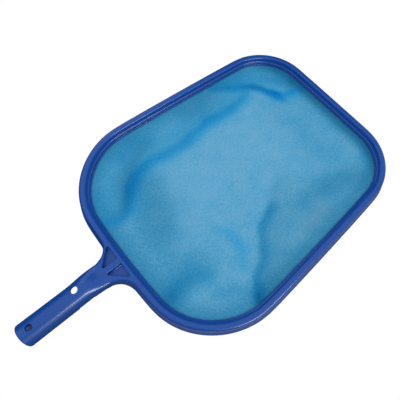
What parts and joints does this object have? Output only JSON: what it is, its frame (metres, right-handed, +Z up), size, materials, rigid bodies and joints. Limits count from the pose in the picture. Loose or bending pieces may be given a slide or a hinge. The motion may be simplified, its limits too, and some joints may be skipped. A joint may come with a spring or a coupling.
{
  "type": "leaf skimmer net",
  "caption": "Flat pool leaf skimmer: a slack fine net clamped in a rounded plastic rim by a snap-in ring, with a short round handle that slides into a telescopic pole.",
  "frame": {"origin": "on the floor under the middle of the whole skimmer's length, on its middle line", "axes": "+X from the mouth of the handle towards the far side of the head, +Z up from the floor that the rim rests on, +Y across the head"},
  "size_m": [0.4986, 0.321, 0.028],
  "materials": {
    "moulded_frame": "smooth injection moulding, satin gloss, royal blue",
    "moulded_ring": "smooth injection moulding, satin gloss, royal blue",
    "fine_net": "fine woven mesh cloth, light blue, slack, with soft folds"
  },
  "bodies": {
    "root": {"frame": "moulded_frame", "retaining_ring": "moulded_ring", "net": "fine_net"}
  },
  "joints": []
}
